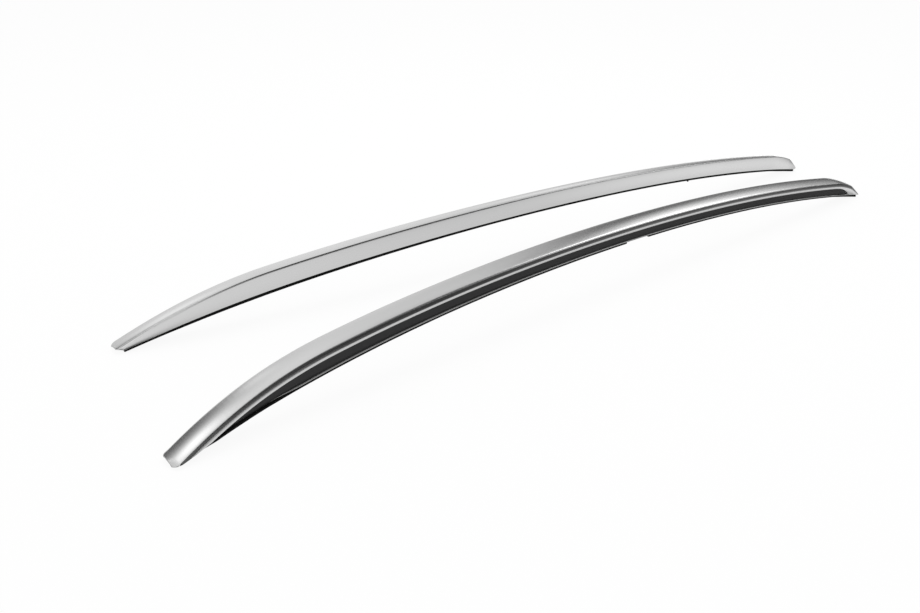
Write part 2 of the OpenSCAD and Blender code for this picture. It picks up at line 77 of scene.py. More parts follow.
class RailSizes(bpy.types.PropertyGroup):
    """Sizes of one rail: those of its solids, with the roundings and small slopes that only show here"""

    length: metres("Rail length", "From tip to tip", 1.860)
    arch: metres("Arch height", "Height of the roof line's arch", 0.0799)
    arch_skew: number("Arch skew", "Moves the arch towards the front", 0.144)
    arch_flat: number("Arch fullness", "Raises the arch towards its ends", 0.821)
    arch_twist: number("Arch end skew", "Moves the arch's ends towards the front", 0.442)
    bow: metres("Bow", "Outward bow in plan", 0.0289)
    bow_skew: number("Bow skew", "Moves the bow towards the front", 0.393)
    bow_flat: number("Bow fullness", "Widens the bow towards its ends", 0.231)
    front_bend: metres("Front bend", "Length of the front bend", 0.289)
    rear_bend: metres("Rear bend", "Length of the rear bend", 0.112)
    front_power: number("Front bend power", "Higher bends later", 1.95)
    rear_power: number("Rear bend power", "Higher bends later", 2.03)
    height_front: metres("Height, front", "Top edge over the roof line, led to the front tip", 0.0398)
    height_mid: metres("Height, middle", "Top edge over the roof line at mid length", 0.0326)
    height_rear: metres("Height, rear", "Top edge over the roof line, led to the rear tip", 0.0324)
    nose_front: metres("Front nose height", "Height left at the front tip", 0.003)
    nose_rear: metres("Rear nose height", "Height left at the rear tip", 0.0118)
    nose_front_length: metres("Front nose", "Length of the front nose's rounding", 0.0008)
    nose_under: metres(
        "Front nose underside", "Length over which the front nose's underside rises to its edge", 0.013
    )
    nose_rear_length: metres("Rear nose", "Length of the rear nose's taper", 0.040)
    corner_front: metres(
        "Front corner, outboard", "Radius of the front nose's outboard corner in plan", 0.005
    )
    corner_inner: metres(
        "Front corner, inboard", "Radius of the front nose's inboard corner in plan", 0.011
    )
    corner_rear: metres("Rear corners", "Radius of the rear nose's corners in plan", 0.009)
    tip_drop: metres("Tip drop", "Drop of the front tip below the arch", 0.0039)
    tip_turn: metres("Tip turn", "Turn of the front tip to the inboard side", 0.0076)
    tip_length: metres("Tip length", "Length of the stretch that drops and turns", 0.200)
    width: metres("Top width", "Width of the top face", 0.0399)
    rise: metres("Top rise", "Rise of the top face to the crease", 0.005)
    crown: metres("Top crown", "Crown of the top face", 0.0015)
    undercut: degrees("Undercut", "Lean of the outboard face", 13.8)
    side_crown: metres("Side crown", "Belly of the outboard face", 0.0008)
    crease_front: metres(
        "Crease rounding, front", "Rounding at the outboard crease of the front half", 0.0040
    )
    crease_rear: metres("Crease rounding, rear", "Rounding at the outboard crease of the rear half", 0.0016)
    edge_round: metres("Edge rounding", "Rounding at the inboard top edge", 0.0022)
    lip_depth: metres("Lip depth", "Depth of the inboard lip", 0.0128)
    lip_belly: metres("Lip belly", "How far the lip bellies out", 0.0026)
    wall: metres("Wall", "Wall of the extrusion", 0.0028)
    hollow_start: metres("Hollow start", "Length of the solid front end", 0.030)
    channel: metres("Channel depth", "Depth of the inboard channel", 0.008)
    flange_edge: metres("Flange edge", "Inboard edge of the base flange", 0.0023)
    flange: metres("Flange thickness", "Thickness of the base flange", 0.0016)
    flange_cut: metres("Flange edge cut", "Width of the slope along the flange's edge", 0.0014)
    flange_back: metres("Flange recess", "How far the flange's edge stays back ahead of that slope", 0.0027)
    flange_cut_start: metres("Flange edge cut start", "From the front tip", 0.17)
    strip: metres("Strip thickness", "Thickness of the channel strip", 0.002)
    channel_start: metres("Channel start", "From the front tip", 0.066)
    channel_end: metres("Channel end", "From the rear tip", 0.052)
    strip_lead: metres("Strip lead", "How far the strip stays back in the channel's front end", 0.016)
    strip_end: metres("Strip end", "How far the strip stays back in the channel's rear end", 0.003)
    seal_front: metres("Seal, front", "Thickness of the base seal at the front pad", 0.0044)
    seal_rear: metres("Seal, rear", "Thickness of the base seal at the rear pad", 0.0028)
    pad: metres("Pad thickness", "Thickness of the rear pad at its end", 0.0056)
    joint: metres("Joint pad thickness", "Thickness of the pad at the joint", 0.0036)
    seal_inset: metres("Seal inset", "How far the seals stay in from the outboard face", 0.0004)
    front_pad_start: metres("Front pad start", "From the front tip", 0.014)
    front_pad_end: metres("Front pad end", "From the front tip", 0.128)
    front_pad_narrowing: metres("Front pad narrowing", "Narrowing at the tip, on the inboard side", 0.008)
    front_pad_taper: metres("Front pad taper", "Length over which the front pad narrows", 0.060)
    rear_pad_length: metres("Rear pad length", "Length of the rear pad", 0.104)
    rear_pad_end: metres("Rear pad end", "From the rear tip", 0.009)
    joint_middle: metres("Joint middle", "Middle of the joint pad", 1.030068)
    joint_length: metres("Joint length", "Length of the joint pad", 0.146)
    joint_edge: metres("Joint edge", "Inboard edge of the joint pad", 0.014)
    pair_gap: metres("Pair gap", "Across, between the rails' middles", 0.344)
    toe: degrees("Toe angle", "Turn of each rail from the X axis", 2.4)
    stagger: metres("Stagger", "How far the left-hand rail lies behind", 0.0658)
    stations: IntProperty(name="Stations", description="Steps along one rail", default=200)


class RailColours(bpy.types.PropertyGroup):
    """Colours of the finishes"""

    metal: tint("Aluminium", "Satin anodised aluminium", (0.66, 0.66, 0.66))
    strip: tint("Channel strip", "Matt black plastic", (0.018, 0.018, 0.019))
    rubber: tint("Seal rubber", "Black rubber", (0.006, 0.006, 0.006))
    block: tint("Fixing block", "Dark grey moulded plastic", (0.06, 0.06, 0.063))
    brass: tint("Insert brass", "Turned brass", (0.72, 0.56, 0.27))
    pin: tint("Locating pin", "Black plastic", (0.02, 0.02, 0.021))
    floor: tint("Floor", "Pale studio floor", (0.9, 0.9, 0.9))


class StudioSizes(bpy.types.PropertyGroup):
    """Camera and light of the stage"""

    lens: number("Lens", "Focal length in millimetres", 37.934)
    sensor: number("Sensor", "Width of the sensor in millimetres", 36.0)
    camera: spot("Camera", "Place of the camera", (-1.3464, -1.3586, 0.7838))
    pitch: degrees("Pitch", "Turn up from looking down", 65.056)
    heading: degrees("Heading", "Turn about the upright axis", -38.048)
    world: number("World light", "Strength of the soft light all round", 0.8)
    level: number("Level", "Even level of the light that the rails mirror", 0.855)
    tilt: number("Tilt", "Change of that level from the horizon to straight up", 0.130)
    gain: number("Gain", "Strength of all mirrored light together", 1.515)
    glow: number("Floor glow", "Share of plain white in the floor as the camera sees it", 0.92)
    floor_size: metres("Floor size", "Half width of the floor", 9.0)
    lamp: spot("Lamp", "Place of the soft lamp", (0.5, 0.8, 3.2))
    lamp_size: metres("Lamp size", "Width of the soft lamp", 2.4)
    lamp_power: number("Lamp power", "Power of the soft lamp in watts", 40.0)


# Shape of a rail. s runs back from the front tip, u outboard from the inboard top edge,
# v up from that edge, and w up from the roof line.

SLOPE_STEP = 0.001  # Step to either side when a slope along the rail is taken.
WEB_SHIFT = 0.001  # How far the web stands inboard of the channel's full depth.
NOSE_FRONT = 0.9  # Share of the height that is left at the front nose's edge.
NOSE_EDGE = 0.12  # Share of the front nose's thickness that is left there.
NOSE_REAR = 0.1  # Share of the height that is left at the rear tip.
NOSE_FULLNESS = 0.6  # How much the rear nose bellies up, from 0 for a straight taper.
NOSE_POWER = 0.95  # Power of that taper.
LIP_BULGE = 0.0081  # Depth at which the inboard lip bellies out most.
LIP_FOOT = 0.001  # How far the lip's lower edge stands out.
LIP_POWERS = (0.9, 1.25)  # Curves of the lip above and below its belly.
LIP_SPAN = (0.1, 0.96)  # Shares of the lip's depth between its two roundings.
LIP_SOFT = 0.12  # Size of the rounding at the lip's lower edge, as a share of its neighbours' distance.
MOUTH_LEAST = 0.0006  # Least height of the channel's mouth.
POCKET_ROUND = 0.042  # Length over which the channel closes at its rear end.
POCKET_PAST = 0.0015  # How far that curve runs on past the channel's end.
CREASE_CHANGE = (0.34, 0.52)  # Shares of the length between which the crease's rounding changes.
FLANGE_CUT_RUN = 0.05  # Length over which the slope along the flange's edge begins.
FLANGE_BACK_RUN = 0.01  # Length over which the flange's edge moves back.
FLANGE_SOFT = 0.07  # Width of the flange edge's own face, as a share of the flange's top.
FLANGE_CUT_DEPTH = 0.6  # Share of the flange's thickness that the slope takes.
SIDE_STEPS = 9  # Steps round the section: up the outboard face,
CREASE_STEPS = 14  # round the crease,
TOP_STEPS = 16  # across the top,
EDGE_STEPS = 6  # round the inboard edge,
LIP_STEPS = 14  # and down the lip.
HOLLOW_CORNER = (0.002, 0.0006)  # Place of the hollow's upper outboard corner off the wall's line.


def hump(t):
    return 4 * t * (1 - t)


def quarter(d, r):
    """Quarter circle of radius r, as a share of r, at a distance d from its end"""
    return math.sqrt(1 - (1 - min(1, max(0, d / r))) ** 2)


def ramp(x, a, b):
    return min(1, max(0, (x - a) / (b - a)))


def steps(a, b, n):
    return [a + (b - a) * i / n for i in range(n + 1)]


def rounding(a, b, c, n):
    """Points of a curve from a to c that leans towards b"""
    return [a.lerp(b, q).lerp(b.lerp(c, q), q) for q in steps(0, 1, n)]


class RailShape:
    def __init__(self, sizes):
        self.z = sizes
        self.web_out = sizes.channel - WEB_SHIFT
        self.web_in = self.web_out + sizes.wall
        self.mid = sizes.width / 2
        self.pocket_end = sizes.length - sizes.channel_end
        self.rear_stop = sizes.length - sizes.rear_pad_end
        self.rear_start = self.rear_stop - sizes.rear_pad_length
        self.joint_start = sizes.joint_middle - sizes.joint_length / 2
        self.joint_stop = sizes.joint_middle + sizes.joint_length / 2
        self.rest = sizes.pad * self.k_roof(self.rear_stop) - self.roof_z(self.rear_stop)
        start = sizes.front_pad_start
        self.front_pad = (self.rest + self.roof_z(start)) / self.k_roof(start)

    def tip(self, s):
        return max(0, 1 - s / self.z.tip_length) ** 2

    def roof_z(self, s):
        z = self.z
        t = s / z.length
        c = t - 0.5
        form = 1 - z.arch_skew * c + z.arch_flat * c * c - z.arch_twist * c**3
        return z.arch * hump(t) * form - z.tip_drop * self.tip(s)

    def bow_y(self, s):
        z = self.z
        t = s / z.length
        c = t - 0.5
        return z.bow * hump(t) * (1 - z.bow_skew * c + z.bow_flat * c * c) - z.tip_turn * self.tip(s)

    def stand(self, s):
        """Height of the rail over the roof line"""
        z = self.z
        t = s / z.length
        h = z.height_front + (4 * z.height_mid - 3 * z.height_front - z.height_rear) * t
        h += 2 * (z.height_front - 2 * z.height_mid + z.height_rear) * t * t
        h -= (z.height_front - z.nose_front) * max(0, 1 - s / z.front_bend) ** z.front_power
        h -= (z.height_rear - z.nose_rear) * max(0, 1 - (z.length - s) / z.rear_bend) ** z.rear_power
        return h

    def top_z(self, s):
        return self.roof_z(s) + self.stand(s)

    def k_top(self, s):
        """Length of the top edge per metre along the rail, from its slope"""
        return math.hypot(1, (self.top_z(s + SLOPE_STEP) - self.top_z(s - SLOPE_STEP)) / (2 * SLOPE_STEP))

    def k_roof(self, s):
        return math.hypot(1, (self.roof_z(s + SLOPE_STEP) - self.roof_z(s - SLOPE_STEP)) / (2 * SLOPE_STEP))

    def nose(self, s):
        """Share of the height that the two noses leave"""
        z = self.z
        left = min(1, (z.length - s) / z.nose_rear_length)
        front = NOSE_FRONT + (1 - NOSE_FRONT) * quarter(s, z.nose_front_length)
        rear = NOSE_REAR + (1 - NOSE_REAR) * (left * (1 + NOSE_FULLNESS * (1 - left))) ** NOSE_POWER
        return front * rear

    def corner(self, s, outboard):
        """Half width at s as a share of the full one, for either side of the rail's middle"""
        z = self.z
        radius = z.corner_front if outboard else z.corner_inner
        front = radius * (1 - quarter(s, radius))
        rear = z.corner_rear * (1 - quarter(z.length - s, z.corner_rear))
        return 1 - (front + rear) / self.mid

    def across(self, s, u):
        return self.bow_y(s) + self.mid + (u - self.mid) * self.corner(s, u > self.mid)

    def top_point(self, s, u, v):
        high = (self.stand(s) + self.k_top(s) * v) * self.nose(s)
        return Vector((s - self.z.length / 2, self.across(s, u), self.roof_z(s) + high))

    def roof_point(self, s, u, w):
        high = self.k_roof(s) * w * self.nose(s)
        return Vector((s - self.z.length / 2, self.across(s, u), self.roof_z(s) + high))

    def seal_point(self, s, u, w):
        """As roof_point, but with no loss of height in the noses, for what lies under the rail"""
        return Vector((s - self.z.length / 2, self.across(s, u), self.roof_z(s) + self.k_roof(s) * w))

    def reach(self, s):
        return self.stand(s) / self.k_top(s)

    def seal(self, s):
        """Thickness of the rubber under the outboard side"""
        z = self.z
        if s < z.front_pad_end:
            share = (s - z.front_pad_start) / (z.front_pad_end - z.front_pad_start)
            return self.front_pad + (z.seal_front - self.front_pad) * share
        if self.joint_start < s < self.joint_stop:
            return z.joint
        if s > self.rear_start:
            return z.seal_rear + (z.pad - z.seal_rear) * (s - self.rear_start) / z.rear_pad_length
        share = (s - z.front_pad_end) / (self.rear_start - z.front_pad_end)
        return z.seal_front + (z.seal_rear - z.seal_front) * share

    def side_u(self, v, low):
        z = self.z
        q = (z.rise - v) / (z.rise + low)
        return z.width - math.tan(z.undercut) * (z.rise - v) + z.side_crown * hump(q)

    def side_foot(self, s):
        z = self.z
        return z.width - math.tan(z.undercut) * (z.rise + self.reach(s))

    def top_v(self, u):
        q = u / self.z.width
        return self.z.rise * q + self.z.crown * hump(q)

    def lip_u(self, d):
        """Inboard lip at depth d: bellies out first, then runs back in to its lower edge"""
        z = self.z
        above, below = LIP_POWERS
        if d < LIP_BULGE:
            return -z.lip_belly * math.sin(d / LIP_BULGE * math.pi / 2) ** above
        q = (d - LIP_BULGE) / (z.lip_depth - LIP_BULGE)
        return -z.lip_belly + (z.lip_belly - LIP_FOOT) * q**below

    def lip_low(self, s):
        return min(self.z.lip_depth, self.reach(s) - self.z.flange - MOUTH_LEAST)

    def pocket_top(self, s, u):
        a = self.top_point(s, u, -self.lip_low(s))
        b = self.roof_point(s, u, self.z.flange)
        a.z = b.z + (a.z - b.z) * quarter(self.pocket_end + POCKET_PAST - s, POCKET_ROUND)
        return a

    def section(self, s, hollow, pocket):
        """One closed loop of points round the extrusion, the same number at every station"""
        z = self.z
        low = self.reach(s)
        crease = z.crease_front + (z.crease_rear - z.crease_front) * ramp(s / z.length, *CREASE_CHANGE)
        top = self.top_point
        loop = [self.roof_point(s, self.side_foot(s), 0)]
        loop += [top(s, self.side_u(v, low), v) for v in steps(-low, z.rise - crease, SIDE_STEPS)[1:-1]]
        a = Vector((self.side_u(z.rise - crease, low), z.rise - crease))
        b = Vector((z.width, z.rise))
        c = Vector((z.width - crease, self.top_v(z.width - crease)))
        loop += [top(s, p.x, p.y) for p in rounding(a, b, c, CREASE_STEPS)]
        across = steps(z.width - crease, z.edge_round, TOP_STEPS)[1:-1]
        loop += [top(s, u, self.top_v(u)) for u in across]
        d = self.lip_low(s)
        first, last = (share * d for share in LIP_SPAN)
        a = Vector((z.edge_round, self.top_v(z.edge_round)))
        c = Vector((self.lip_u(first), -first))
        loop += [top(s, p.x, p.y) for p in rounding(a, Vector((0, 0)), c, EDGE_STEPS)]
        loop += [top(s, self.lip_u(q), -q) for q in steps(first, last, LIP_STEPS)[1:]]
        loop += self.channel_and_flange(s, loop[-1], pocket)
        web = self.roof_point(s, self.web_in, 0)
        foot = self.roof_point(s, self.side_foot(s) - z.wall, 0)
        if hollow:
            right, down = HOLLOW_CORNER
            u = self.side_foot(s) - z.wall + right
            inner = top(s, self.web_in, self.top_v(self.web_in) - z.wall)
            loop += [web, inner, top(s, u, self.top_v(u) - z.wall - down), foot]
        else:
            loop += [web, web, foot, foot]
        if s < z.nose_under:
            self.thin_out(s, loop)
        return loop

    def channel_and_flange(self, s, above, pocket):
        """Part of the section from the inboard lip's lower edge to under the base flange"""
        z = self.z
        d = self.lip_low(s)
        cut = ramp(s, z.flange_cut_start, z.flange_cut_start + FLANGE_CUT_RUN)
        set_back = (1 - cut) * ramp(s, z.channel_start, z.channel_start + FLANGE_BACK_RUN)
        back = z.flange_edge + z.flange_back * set_back
        lip = self.pocket_top(s, self.lip_u(d))
        edge = self.roof_point(s, back + z.flange_cut * cut, z.flange)
        if pocket:
            ceiling = self.pocket_top(s, self.web_out)
            floor = self.roof_point(s, self.web_out, z.flange)
        else:
            ceiling, floor = lip, edge
        return [
            lip + (above - lip) * LIP_SOFT,
            lip + (ceiling - lip) * LIP_SOFT * 0.5,
            ceiling,
            floor,
            edge + (floor - edge) * FLANGE_SOFT,
            edge,
            self.roof_point(s, back, z.flange * (1 - FLANGE_CUT_DEPTH * cut)),
            self.roof_point(s, back, 0),
        ]

    def thin_out(self, s, loop):
        """Raises the front nose's underside towards its top face"""
        z = self.z
        left = NOSE_EDGE + (1 - NOSE_EDGE) * s / z.nose_under
        for p in loop:
            off = p.y - self.bow_y(s) - self.mid
            u = min(z.width, max(0, self.mid + off / self.corner(s, off > 0)))
            high = self.top_point(s, u, self.top_v(u)).z
            p.z = high - (high - p.z) * left

    def place(self, point, side):
        """From the rail's own place to the pair's"""
        z = self.z
        c, n = math.cos(z.toe), math.sin(z.toe)
        along, across = point.x * c - point.y * n, point.x * n + point.y * c
        if side == "right":
            return Vector((along - z.stagger / 2, across - z.pair_gap / 2, point.z + self.rest))
        return Vector((along + z.stagger / 2, z.pair_gap / 2 - across, point.z + self.rest))


MERGED = 0.000004  # Points closer than this are merged.
CRISP = 32  # Edges over this angle in degrees stay sharp.
NOSE_STEPS = 18  # Closer steps in each stretch of the noses.
BEND_STEPS = 24  # Steps in the rear bend.


def sweep(name, rings):
    """Extrudes a closed loop of points from one ring to the next and closes both ends"""
    bm = bmesh.new()
    face = bm.faces.new([bm.verts.new(p) for p in rings[0]])
    for ring in rings[1:]:
        out = bmesh.ops.extrude_face_region(bm, geom=[face])
        face = next(g for g in out["geom"] if isinstance(g, bmesh.types.BMFace))
        for vert, place in zip(face.verts, ring):
            vert.co = place
    bmesh.ops.remove_doubles(bm, verts=bm.verts, dist=MERGED)
    bmesh.ops.triangulate(bm, faces=[f for f in bm.faces if len(f.verts) > 4])
    bmesh.ops.recalc_face_normals(bm, faces=bm.faces)
    return finished(name, bm)


def finished(name, bm):
    """Makes an object of a mesh, smooth apart from its crisp edges"""
    for face in bm.faces:
        face.smooth = True
    for edge in bm.edges:
        edge.smooth = len(edge.link_faces) == 2 and edge.calc_face_angle(0) < math.radians(CRISP)
    mesh = bpy.data.meshes.new(name)
    bm.to_mesh(mesh)
    bm.free()
    piece = bpy.data.objects.new(name, mesh)
    bpy.context.scene.collection.objects.link(piece)
    return piece


def stations(sizes, a, b, count):
    """Even steps from a to b, with closer steps in the noses and the rear bend"""
    out = set(steps(a, b, count))
    for q in steps(0, 1, NOSE_STEPS):
        out.add(q * q * sizes.nose_front_length)
        out.add(sizes.nose_front_length + q * q * sizes.nose_under)
        out.add(sizes.nose_under + q * sizes.channel_start)
        out.add(sizes.length - q * q * sizes.nose_rear_length)
    for q in steps(0, 1, BEND_STEPS):
        out.add(sizes.length - sizes.rear_bend * q)
    return sorted(s for s in out if a <= s <= b)


# Finishes.


def new_group(name, inputs, outputs):
    group = bpy.data.node_groups.new(name, "ShaderNodeTree")
    for label, kind, value in inputs:
        socket = group.interface.new_socket(name=label, in_out="INPUT", socket_type=kind)
        socket.default_value = value
    for label, kind in outputs:
        group.interface.new_socket(name=label, in_out="OUTPUT", socket_type=kind)
    return group, group.nodes.new("NodeGroupInput"), group.nodes.new("NodeGroupOutput")


def math_node(nodes, operation, b=None):
    """A math node, with its second input set to b if one is given"""
    node = nodes.new("ShaderNodeMath")
    node.operation = operation
    if b is not None:
        node.inputs[1].default_value = b
    return node


FINE_DETAIL = 3.0
PATCH_SCALE, PATCH_DETAIL = 9.0, 2.0  # Size and detail of the wide patches.
NOISE_RANGE = (0.25, 0.75)  # Noise values that count as none and as all.


def grain_group():
    """Fine grain: a mask that changes over the surface and a height, both from noise"""
    name = "Fine grain"
    if name in bpy.data.node_groups:
        return bpy.data.node_groups[name]
    group, source, sink = new_group(
        name,
        [
            ("Scale", "NodeSocketFloat", 900.0),
            ("Stretch", "NodeSocketFloat", 1.0),
            ("Low", "NodeSocketFloat", 0.3),
            ("High", "NodeSocketFloat", 0.4),
            ("Patch", "NodeSocketFloat", 0.3),
        ],
        [("Rough", "NodeSocketFloat"), ("Height", "NodeSocketFloat"), ("Mask", "NodeSocketFloat")],
    )
    nodes, links = group.nodes, group.links
    coords = nodes.new("ShaderNodeTexCoord")
    along = nodes.new("ShaderNodeCombineXYZ")
    along.inputs[1].default_value = 1.0
    along.inputs[2].default_value = 1.0
    links.new(source.outputs["Stretch"], along.inputs[0])
    scaled = nodes.new("ShaderNodeVectorMath")
    scaled.operation = "MULTIPLY"
    links.new(coords.outputs["Object"], scaled.inputs[0])
    links.new(along.outputs[0], scaled.inputs[1])
    fine = nodes.new("ShaderNodeTexNoise")
    fine.inputs["Detail"].default_value = FINE_DETAIL
    links.new(scaled.outputs[0], fine.inputs["Vector"])
    links.new(source.outputs["Scale"], fine.inputs["Scale"])
    patch = nodes.new("ShaderNodeTexNoise")
    patch.inputs["Scale"].default_value = PATCH_SCALE
    patch.inputs["Detail"].default_value = PATCH_DETAIL
    links.new(coords.outputs["Object"], patch.inputs["Vector"])
    mixed = nodes.new("ShaderNodeMix")
    mixed.data_type = "FLOAT"
    links.new(source.outputs["Patch"], mixed.inputs[0])
    links.new(fine.outputs["Fac"], mixed.inputs[2])
    links.new(patch.outputs["Fac"], mixed.inputs[3])
    ranged = nodes.new("ShaderNodeMapRange")
    ranged.inputs["From Min"].default_value = NOISE_RANGE[0]
    ranged.inputs["From Max"].default_value = NOISE_RANGE[1]
    links.new(mixed.outputs[0], ranged.inputs["Value"])
    links.new(source.outputs["Low"], ranged.inputs["To Min"])
    links.new(source.outputs["High"], ranged.inputs["To Max"])
    links.new(ranged.outputs[0], sink.inputs["Rough"])
    links.new(fine.outputs["Fac"], sink.inputs["Height"])
    links.new(mixed.outputs[0], sink.inputs["Mask"])
    return group


# Finishes of the record's slots: name, colour, whether it is metal, then the grain's scale, stretch along
# the rail and patchiness, the roughness it runs between, the relief's strength and height in metres, and
# how much the colour changes. The three rubbers differ only in name.
RUBBER = ("rubber", 0.0, 1100.0, 1.0, 0.4, (0.55, 0.75), (0.3, 0.00012), 0.2)
RUBBER_SHINE = {"Specular IOR Level": 0.05}
FINISHES = {
    "satin_aluminium": (
        "Satin aluminium", "metal", 1.0, 2600.0, 0.12, 0.3,
        (0.17, 0.23), (0.05, 0.00004), 0.02,
    ),
    "channel_black": (
        "Channel black", "strip", 0.0, 1400.0, 0.6, 0.4,
        (0.42, 0.58), (0.25, 0.0001), 0.15,
    ),
    "seal_rubber": ("Seal rubber", *RUBBER),
    "pad_rubber": ("Pad rubber", *RUBBER),
    "ring_rubber": ("Ring rubber", *RUBBER),
    "block_nylon": (
        "Block nylon", "block", 0.0, 1700.0, 1.0, 0.3,
        (0.4, 0.6), (0.3, 0.0001), 0.15,
    ),
    "insert_brass": (
        "Insert brass", "brass", 1.0, 3000.0, 1.0, 0.3,
        (0.2, 0.36), (0.1, 0.00003), 0.08,
    ),
    "pin_black": (
        "Pin black", "pin", 0.0, 1500.0, 1.0, 0.3,
        (0.35, 0.5), (0.15, 0.00005), 0.1,
    ),
}
# Other shader inputs that a slot's finish sets.
SHADER_EXTRAS = {
    "channel_black": {"Specular IOR Level": 0.4},
    "seal_rubber": RUBBER_SHINE,
    "pad_rubber": RUBBER_SHINE,
    "ring_rubber": RUBBER_SHINE,
    "pin_black": {"Coat Weight": 0.3},
}


MADE = {}  # Materials made so far, by slot.


def finish_of(slot):
    """The material of one of the record's slots, whose colour, roughness and relief come from the grain"""
    if slot in MADE:
        return MADE[slot]
    name, colour, metallic, scale, stretch, patch, rough, relief, change = FINISHES[slot]
    colour = getattr(bpy.context.scene.rail_colours, colour)
    material = MADE[slot] = bpy.data.materials.new(name)
    material.use_nodes = True
    nodes, links = material.node_tree.nodes, material.node_tree.links
    shader = nodes["Principled BSDF"]
    shader.inputs["Metallic"].default_value = metallic
    for label, value in SHADER_EXTRAS.get(slot, {}).items():
        shader.inputs[label].default_value = value
    texture = nodes.new("ShaderNodeGroup")
    texture.node_tree = grain_group()
    grain = {"Scale": scale, "Stretch": stretch, "Low": rough[0], "High": rough[1], "Patch": patch}
    for label, value in grain.items():
        texture.inputs[label].default_value = value
    links.new(texture.outputs["Rough"], shader.inputs["Roughness"])
    blend = nodes.new("ShaderNodeMix")
    blend.data_type = "RGBA"
    blend.inputs[6].default_value = (*[c * (1 - change) for c in colour], 1)
    blend.inputs[7].default_value = (*[min(1, c * (1 + change)) for c in colour], 1)
    links.new(texture.outputs["Mask"], blend.inputs[0])
    links.new(blend.outputs[2], shader.inputs["Base Color"])
    bump = nodes.new("ShaderNodeBump")
    bump.inputs["Strength"].default_value, bump.inputs["Distance"].default_value = relief
    links.new(texture.outputs["Height"], bump.inputs["Height"])
    links.new(bump.outputs[0], shader.inputs["Normal"])
    return material


def hand_over(piece, slot, *nodes):
    """Gives a piece its finish and body, and hides the solids it stands for"""
    piece.data.materials.clear()
    piece.data.materials.append(finish_of(slot))
    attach(piece, "root")
    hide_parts(*nodes)


def shape():
    return RailShape(bpy.context.scene.rail_sizes)


CUT_CLEAR = 0.0012  # No ring lies closer than this to an end of the hollow or the channel,
CUT_STEP = 0.0002  # apart from one this far to either side of it.


class RAILS_OT_extrusions(bpy.types.Operator):
    """Bends both aluminium extrusions and trims them along the roof line"""

    bl_idname = "rails.extrusions"
    bl_label = "Extrusions"

    def execute(self, context):
        rail = shape()
        z = rail.z
        hollow = (z.hollow_start, z.length - z.nose_rear_length)
        pocket = (z.channel_start, rail.pocket_end)
        cuts = [*hollow, *pocket]
        places = stations(z, 0, z.length, z.stations)
        places = [s for s in places if all(abs(s - c) > CUT_CLEAR for c in cuts)]
        places += [c + d for c in cuts for d in (-CUT_STEP, CUT_STEP)]
        for side in SIDES:
            rings = []
            for s in sorted(places):
                loop = rail.section(s, hollow[0] < s < hollow[1], pocket[0] < s < pocket[1])
                rings.append([rail.place(p, side) for p in loop])
            piece = sweep(f"{side}_extrusion", rings)
            hand_over(piece, "satin_aluminium", f"{side}_rail")
        return {"FINISHED"}


# Inboard face of the channel strip, from its top to its bottom: share of the height, and whether the
# point lies in one of the two grooves.
STRIP_FACE = (
    (0.0, 0), (0.03, 0), (0.06, 1), (0.12, 1), (0.15, 0), (0.5, 0),
    (0.85, 0), (0.88, 1), (0.94, 1), (0.97, 0), (1.0, 0),
)
STRIP_GROOVE = 0.00048  # Depth of the grooves.


class RAILS_OT_strips(bpy.types.Operator):
    """Lines the inboard channels with their black strips"""

    bl_idname = "rails.strips"
    bl_label = "Channel strips"

    def execute(self, context):
        rail = shape()
        z = rail.z
        places = stations(z, z.channel_start + z.strip_lead, rail.pocket_end - z.strip_end, z.stations)
        back, face = rail.web_out, rail.web_out - z.strip
        for side in SIDES:
            rings = []
            for s in places:
                low, high = rail.roof_point(s, face, z.flange), rail.pocket_top(s, face)
                loop = [rail.roof_point(s, back, z.flange), rail.pocket_top(s, back)]
                for share, grooved in STRIP_FACE:
                    p = high.lerp(low, share)
                    p.y += grooved * STRIP_GROOVE
                    loop.append(p)
                rings.append([rail.place(p, side) for p in loop])
            piece = sweep(f"{side}_strip", rings)
            hand_over(piece, "channel_black", f"{side}_channel_strip")
        return {"FINISHED"}


SEAL_ROUND = 0.0009  # Rounding of a seal's lower edges.
SEAL_BEVEL = 0.0003  # Bevel of its upper edges.
PAD_STEPS = 12  # Least number of steps along a pad.


def seal_ring(rail, s, a, b, g):
    """Section of a seal or pad between a and b, g thick: flat on top, with rounded lower edges"""
    loop = []
    for u, sign in ((b, -1), (a, 1)):
        arc = []
        for t in steps(0, math.pi / 2, 4):
            inward = sign * SEAL_ROUND * (1 - math.sin(t))
            arc.append(rail.seal_point(s, u + inward, -g + SEAL_ROUND * (1 - math.cos(t))))
        upper = [rail.seal_point(s, u, -SEAL_BEVEL), rail.seal_point(s, u + sign * SEAL_BEVEL, 0)]
        loop += arc + upper if sign < 0 else (arc + upper)[::-1]
    return loop


# Depth of the seals' outboard lip below them: distance from the front tip, and depth.
SEAL_LIP = (
    (0.02, 0.0), (0.08, 0.0008), (0.16, 0.0018), (0.24, 0.0024), (0.45, 0.0022),
    (0.62, 0.0018), (0.80, 0.0014), (1.20, 0.0016), (1.60, 0.0022), (1.78, 0.0018), (1.845, 0.0004),
)
LIP_HOLD = 0.7  # Share of the seal's thickness at which the lip starts.
LIP_ACROSS = (0.00005, 0.00005, -0.0003, -0.0009, -0.0012, -0.0016)  # Its points, from the seals' edge.
LIP_CORNER = 0.0004  # Height of the lip's lower corners.


def seal_lip_depth(s):
    for (a, x), (b, y) in zip(SEAL_LIP, SEAL_LIP[1:]):
        if s <= b:
            return x + (y - x) * (s - a) / (b - a)
    return SEAL_LIP[-1][1]


